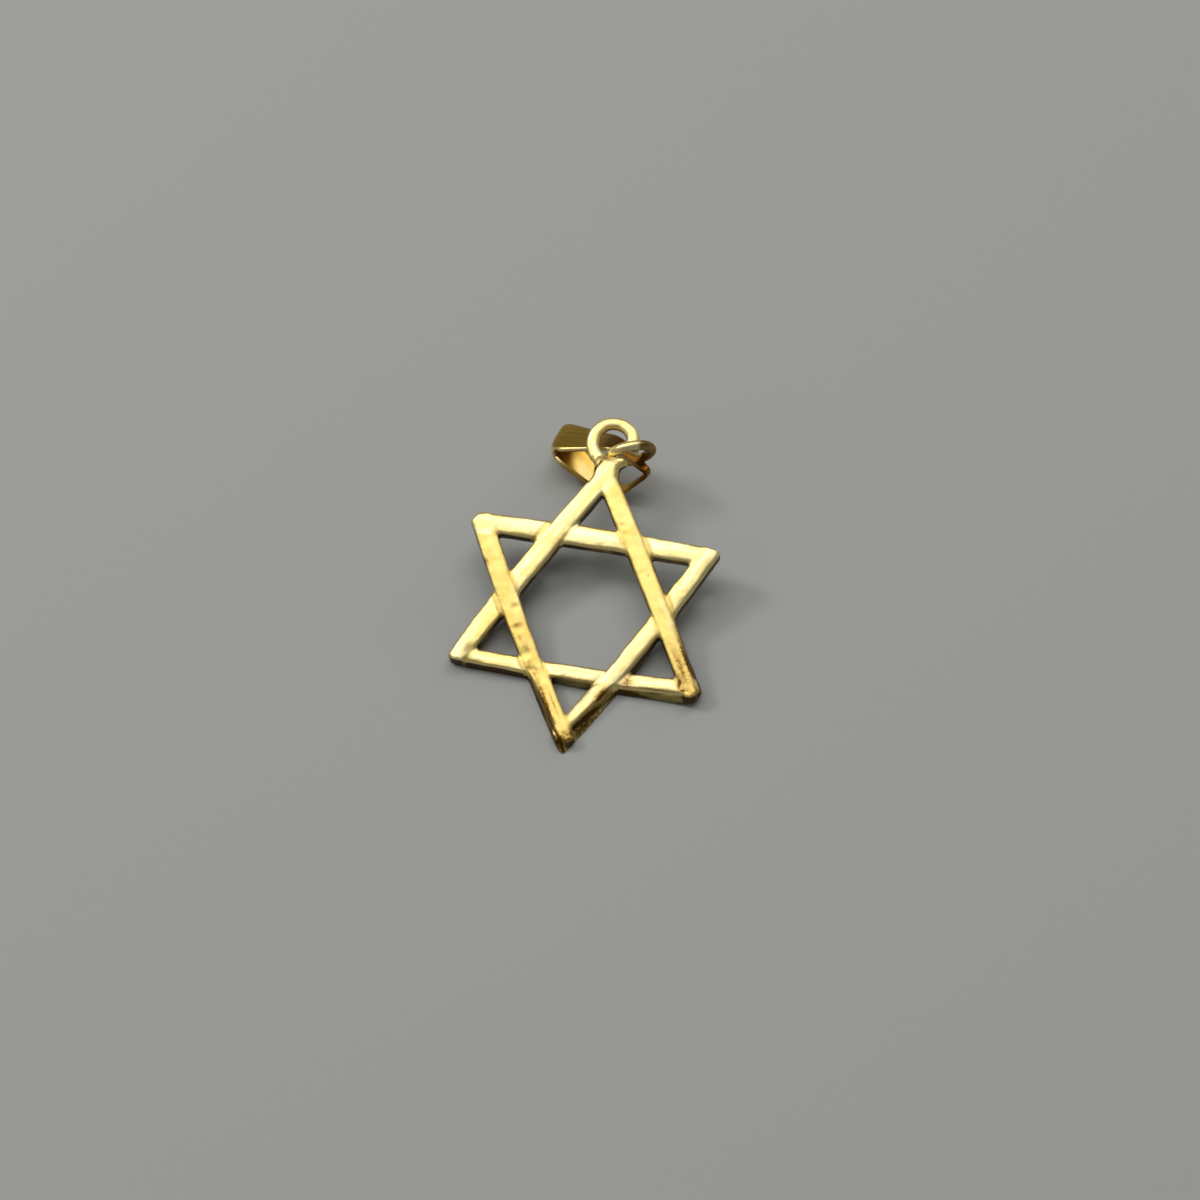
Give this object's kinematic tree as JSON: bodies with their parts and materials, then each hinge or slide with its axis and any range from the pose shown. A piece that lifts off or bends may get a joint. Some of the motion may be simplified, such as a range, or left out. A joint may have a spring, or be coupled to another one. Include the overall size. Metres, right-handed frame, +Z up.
{
  "type": "star of david pendant",
  "caption": "Small gold star pendant of interlaced triangles, with a loop, a jump ring and a folded leaf bail for a chain, lying on its back.",
  "frame": {"origin": "centre of the pendant's outline on the surface it lies on", "axes": "+Z up from the surface, +Y towards the loop and the bail, +X to the star's right seen from the front"},
  "size_m": [0.0171, 0.0234, 0.0058],
  "materials": {
    "star_gold": "hand-filed and softly polished yellow gold",
    "ring_gold": "polished yellow gold wire",
    "bail_gold": "polished yellow gold sheet with rolling lines"
  },
  "bodies": {
    "root": {"star": "star_gold", "jump_ring": "ring_gold", "bail": "bail_gold"}
  },
  "joints": []
}
